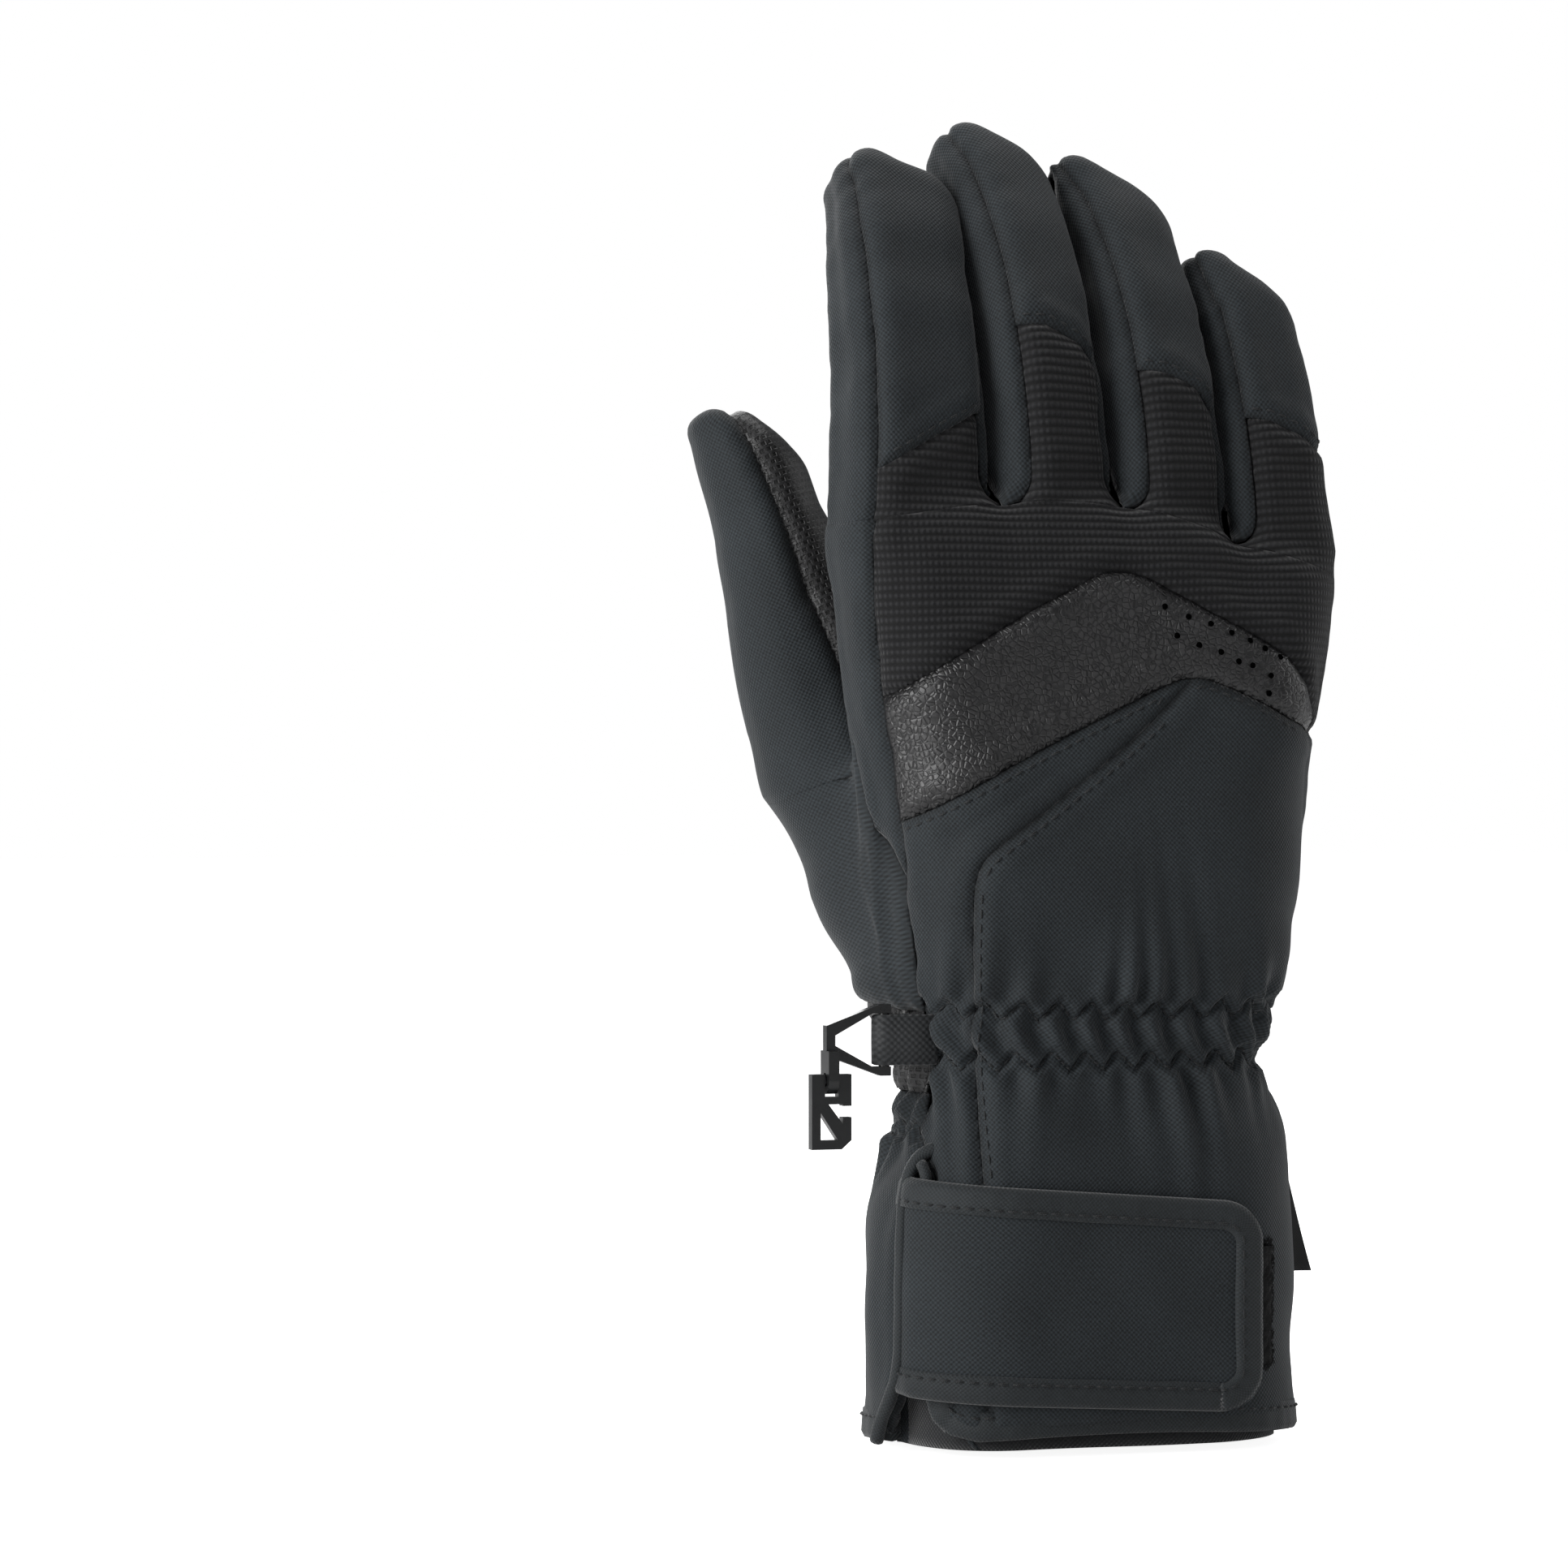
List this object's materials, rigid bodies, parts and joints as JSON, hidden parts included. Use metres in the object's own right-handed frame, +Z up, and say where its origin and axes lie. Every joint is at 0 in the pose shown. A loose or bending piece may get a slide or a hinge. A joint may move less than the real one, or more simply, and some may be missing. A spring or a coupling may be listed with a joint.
{
  "type": "ski glove",
  "caption": "Padded ski glove for the right hand, with curved fingers, leather knuckle band, elastic wrist, cuff strap and a clip.",
  "frame": {"origin": "middle of the cuff's mouth, in the plane that the hem stands on", "axes": "+Z up from the cuff to the fingertips, +Y out of the palm, -Y out of the back of the hand, -X to the thumb"},
  "size_m": [0.1311, 0.0859, 0.2935],
  "materials": {
    "softshell": "close-woven softshell cloth, matt",
    "knit": "fine ribbed knit, matt",
    "leather": "grained leather, soft sheen",
    "palm_leather": "punched synthetic suede, matt",
    "padding": "synthetic wadding",
    "lining": "brushed tricot",
    "webbing": "woven tape",
    "hook_and_loop": "hook and loop pile",
    "elastic": "elastic cloth",
    "clip_plastic": "moulded, glossy"
  },
  "bodies": {
    "hand": {"back_panel_main": "softshell", "back_panel_thumb_side": "softshell", "cuff_palm_panel": "softshell", "hem_binding": "webbing", "index_side_strip": "softshell", "knuckle_band": "leather", "knuckle_knit": "knit", "lining_back": "lining", "lining_palm": "lining", "little_side_strip": "softshell", "loop_patch": "hook_and_loop", "padding_back": "padding", "padding_palm": "padding", "palm_panel": "palm_leather", "palm_patch": "palm_leather", "side_label": "webbing", "thumb_base_lining": "lining", "thumb_base_padding": "padding", "thumb_base_shell": "softshell", "vent_gusset": "elastic", "vent_piping": "webbing", "webbing_loop": "webbing", "wrist_elastic": "elastic"},
    "strap": {"closure_strap": "softshell", "strap_edging": "webbing", "hook_patch": "hook_and_loop"},
    "clip_ring": {"clip_ring": "clip_plastic"},
    "clip_hook": {"clip_hook": "clip_plastic"},
    "thumb": {"thumb_back_panel": "softshell", "thumb_palm_panel": "palm_leather", "thumb_padding": "padding", "thumb_lining": "lining"},
    "index": {"index_back_panel": "softshell", "index_knit": "knit", "index_palm_panel": "palm_leather", "index_sides": "softshell", "index_padding": "padding", "index_lining": "lining"},
    "middle": {"middle_back_panel": "softshell", "middle_knit": "knit", "middle_palm_panel": "palm_leather", "middle_sides": "softshell", "middle_padding": "padding", "middle_lining": "lining"},
    "ring": {"ring_back_panel": "softshell", "ring_knit": "knit", "ring_palm_panel": "palm_leather", "ring_sides": "softshell", "ring_padding": "padding", "ring_lining": "lining"},
    "little": {"little_back_panel": "softshell", "little_knit": "knit", "little_palm_panel": "palm_leather", "little_sides": "softshell", "little_padding": "padding", "little_lining": "lining"}
  },
  "joints": [
    {"name": "index_flex", "type": "hinge", "parent": "hand", "child": "index", "pos_m": [-0.0398, 0, 0.206], "axis": [-0.999, 0, 0.0436], "range_deg": [-10, 60], "stiffness_Nm_per_rad": 0.15},
    {"name": "middle_flex", "type": "hinge", "parent": "hand", "child": "middle", "pos_m": [-0.01235, 0, 0.208], "axis": [-1, 0, 0], "range_deg": [-10, 60], "stiffness_Nm_per_rad": 0.15},
    {"name": "ring_flex", "type": "hinge", "parent": "hand", "child": "ring", "pos_m": [0.0146, 0, 0.205], "axis": [-1, 0, 0], "range_deg": [-10, 60], "stiffness_Nm_per_rad": 0.15},
    {"name": "little_flex", "type": "hinge", "parent": "hand", "child": "little", "pos_m": [0.0408, 0, 0.197], "axis": [-0.9994, 0, -0.0349], "range_deg": [-10, 60], "stiffness_Nm_per_rad": 0.15},
    {"name": "thumb_flex", "type": "hinge", "parent": "hand", "child": "thumb", "pos_m": [-0.042, 0.0335, 0.15], "axis": [0.573, -0.7639, 0.2968], "range_deg": [-28, 10], "stiffness_Nm_per_rad": 0.15},
    {"name": "strap_open", "type": "hinge", "parent": "hand", "child": "strap", "pos_m": [-0.04838, -0.01533, 0.0335], "axis": [0, 0, -1], "range_deg": [0, 130]},
    {"name": "ring_swing", "type": "hinge", "parent": "hand", "child": "clip_ring", "pos_m": [-0.0485, -0.009, 0.09], "axis": [0, 0, 1], "range_deg": [-60, 60]},
    {"name": "hook_swing", "type": "hinge", "parent": "clip_ring", "child": "clip_hook", "pos_m": [-0.0608, -0.009, 0.0814], "axis": [1, 0, 0], "range_deg": [-80, 80]}
  ]
}
